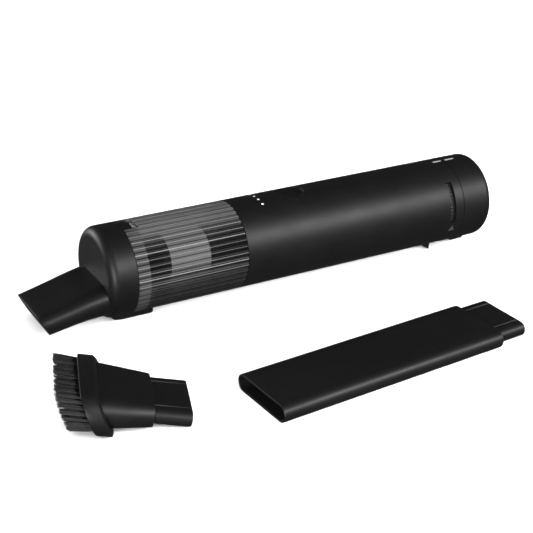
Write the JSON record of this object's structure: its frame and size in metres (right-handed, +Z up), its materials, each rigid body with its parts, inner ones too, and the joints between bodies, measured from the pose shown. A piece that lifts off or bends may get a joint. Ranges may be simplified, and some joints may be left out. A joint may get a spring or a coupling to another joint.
{
  "type": "handheld vacuum",
  "caption": "Slim cylindrical handheld vacuum with flat nozzle, fluted clear dust canister, thumb button and twist tail, with a flat crevice tool and a slanted dusting brush beside it.",
  "frame": {"origin": "on the standing plane, on the barrel's centre plane, below the seam between front cap and dust canister", "axes": "+X from the nozzle towards the tail along the barrel, +Y to the barrel's far side away from the loose tools, +Z up"},
  "size_m": [0.3703, 0.1939, 0.0651],
  "materials": {
    "shell_plastic": "satin moulded black with a fine grain",
    "tool_plastic": "satin moulded black",
    "button_plastic": "satin black",
    "smoke_clear": "smoke-tinted clear plastic with fine flutes",
    "inner_plastic": "dark moulded",
    "filter_fibre": "pleated white fibre",
    "filter_frame": "dark moulded",
    "black_rubber": "soft matte",
    "foam": "open cell foam",
    "steel": "turned",
    "motor_can": "turned can",
    "cell_wrap": "shrink wrapped cells",
    "board": "solder mask",
    "lead_wire": "insulated wire",
    "light_pipe": "milky light pipe",
    "print_white": "printed mark",
    "bristle": "nylon bristle tufts"
  },
  "bodies": {
    "shell": {"body_shell": "shell_plastic", "intake_seat": "inner_plastic", "canister_seal": "black_rubber", "fan_housing": "inner_plastic", "diffuser": "inner_plastic", "motor": "motor_can", "motor_mount": "black_rubber", "control_board": "board", "tact_switch": "inner_plastic", "indicator_lights": "light_pipe", "battery_cells": "cell_wrap", "battery_holders": "inner_plastic", "battery_leads": "lead_wire", "pack_board": "board", "button_gasket": "black_rubber", "charging_port": "steel", "port_board": "board", "bulkhead": "inner_plastic", "bulkhead_screws": "steel", "exhaust_foam": "foam", "exhaust_screen": "inner_plastic", "rear_foot": "shell_plastic", "shell_marks": "print_white"},
    "canister": {"dust_canister": "smoke_clear", "hinge_pin": "steel"},
    "cap": {"front_cap": "shell_plastic", "suction_nozzle": "shell_plastic", "cap_seal": "black_rubber", "flap_clamp": "inner_plastic", "latch_pin": "steel", "latch_spring": "steel"},
    "flap": {"inlet_flap": "black_rubber"},
    "latch": {"release_latch": "shell_plastic"},
    "filter": {"filter_cage": "filter_frame", "filter_medium": "filter_fibre", "filter_seal": "black_rubber"},
    "button": {"power_button": "button_plastic"},
    "rotor": {"impeller": "inner_plastic", "motor_shaft": "steel"},
    "tail": {"tail_cap": "shell_plastic", "cap_mark": "print_white"},
    "cover": {"port_cover": "black_rubber"},
    "crevice": {"crevice_tool": "tool_plastic"},
    "brush": {"brush_body": "tool_plastic", "bristle_insert": "inner_plastic", "brush_bristles": "bristle"}
  },
  "joints": [
    {"name": "canister_pull", "type": "slide", "parent": "shell", "child": "canister", "axis": [-1, 0, 0], "range_m": [0, 0.06]},
    {"name": "cap_hinge", "type": "hinge", "parent": "canister", "child": "cap", "pos_m": [0.0044, 0, 0.062], "axis": [0, 1, 0], "range_deg": [0, 75]},
    {"name": "flap_hinge", "type": "hinge", "parent": "cap", "child": "flap", "pos_m": [-0.0139, 0, 0.0327], "axis": [0, -1, 0], "range_deg": [0, 60], "stiffness_Nm_per_rad": 0.003, "springref_deg": -5.73},
    {"name": "latch_pivot", "type": "hinge", "parent": "cap", "child": "latch", "pos_m": [-0.004, 0, 0.003], "axis": [0, 1, 0], "range_deg": [0, 8], "stiffness_Nm_per_rad": 0.4, "springref_deg": -5.73},
    {"name": "filter_pull", "type": "slide", "parent": "shell", "child": "filter", "axis": [-1, 0, 0], "range_m": [0, 0.02]},
    {"name": "button_press", "type": "slide", "parent": "shell", "child": "button", "axis": [0, 0, -1], "range_m": [0, 0.0012], "stiffness_N_per_m": 900, "springref_m": -0.0005},
    {"name": "impeller_spin", "type": "hinge", "parent": "shell", "child": "rotor", "pos_m": [0.09, 0, 0.035], "axis": [1, 0, 0], "continuous": true},
    {"name": "tail_twist", "type": "hinge", "parent": "shell", "child": "tail", "pos_m": [0.2535, 0, 0.035], "axis": [1, 0, 0], "range_deg": [0, 30]},
    {"name": "port_cover_hinge", "type": "hinge", "parent": "shell", "child": "cover", "pos_m": [0.2144, 0, 0.00375], "axis": [0, 1, 0], "range_deg": [0, 90], "stiffness_Nm_per_rad": 0.001, "springref_deg": -5.73},
    {"name": "crevice_lift", "type": "slide", "parent": "shell", "child": "crevice", "axis": [0, 0, 1], "range_m": [0, 0.12]},
    {"name": "brush_lift", "type": "slide", "parent": "shell", "child": "brush", "axis": [0, 0, 1], "range_m": [0, 0.12]}
  ]
}
